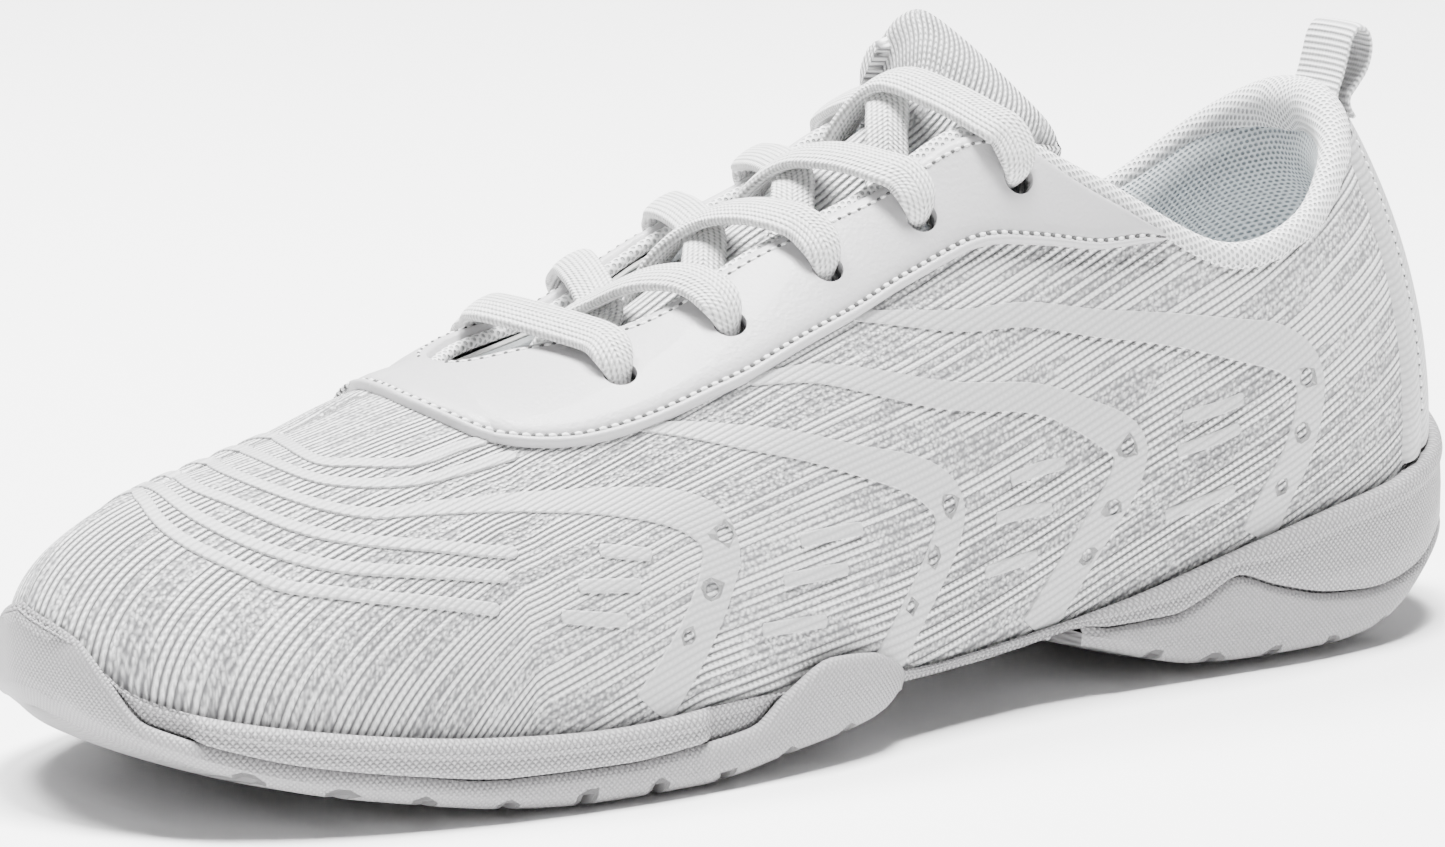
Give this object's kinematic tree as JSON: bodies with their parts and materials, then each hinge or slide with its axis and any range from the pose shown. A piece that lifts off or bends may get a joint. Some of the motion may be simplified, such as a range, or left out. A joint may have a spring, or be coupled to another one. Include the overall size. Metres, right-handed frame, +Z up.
{
  "type": "cheerleading shoe",
  "caption": "Low lace-up cheerleading sneaker for the left foot: knitted upper, padded tongue and collar, dished foam midsole, rubber forefoot and heel outsoles.",
  "frame": {"origin": "middle of the shoe's outline in plan, on the floor it stands on", "axes": "+Z up, toe towards -Y and heel towards +Y, outer (little-toe) side of the left shoe towards +X"},
  "size_m": [0.0968, 0.2692, 0.1066],
  "materials": {
    "outsole": "white rubber, satin",
    "foam_sole": "white moulded foam, matt, finely textured",
    "shank": "moulded plastic",
    "board": "felted board",
    "foam": "open foam faced with cloth",
    "knit": "white jacquard knit",
    "mesh": "white spacer mesh",
    "facing": "white synthetic leather, satin",
    "band": "white printed film, satin",
    "stay": "white cloth",
    "webbing": "white ribbed webbing",
    "lace": "white flat braid",
    "lace_tip": "clear film tip",
    "stiffener": "thin thermoplastic sheet"
  },
  "bodies": {
    "shoe": {"back_stay": "stay", "collar_foam": "foam", "collar_lining": "mesh", "collar_rim": "knit", "eyestay": "facing", "eyestay_backing_inner": "stiffener", "eyestay_backing_outer": "stiffener", "heel_counter": "stiffener", "inner_band_1": "band", "inner_band_2": "band", "inner_band_3": "band", "inner_band_4": "band", "knit_upper": "knit", "lace": "lace", "lace_tip_inner": "lace_tip", "lace_tip_outer": "lace_tip", "midsole": "foam_sole", "outer_band_1": "band", "outer_band_2": "band", "outer_band_3": "band", "outer_band_4": "band", "outsole_forefoot": "outsole", "outsole_heel": "outsole", "pull_loop_back_tab": "webbing", "pull_loop_front_tab": "webbing", "shank_plate": "shank", "sockliner": "foam", "strobel_board": "board", "toe_puff": "stiffener", "vamp_lining": "mesh"},
    "tongue": {"tongue_face": "knit", "tongue_foam": "foam", "tongue_lining": "mesh"},
    "loop": {"pull_loop": "webbing"}
  },
  "joints": [
    {"name": "tongue_tilt", "type": "hinge", "parent": "shoe", "child": "tongue", "pos_m": [-0.005, -0.0705, 0.052], "axis": [1, 0, 0], "range_deg": [-12, 0], "stiffness_Nm_per_rad": 0.3},
    {"name": "pull_loop_flex", "type": "hinge", "parent": "shoe", "child": "loop", "pos_m": [-0.001, 0.117, 0.0866], "axis": [1, 0, 0], "range_deg": [-20, 20], "stiffness_Nm_per_rad": 0.01}
  ]
}
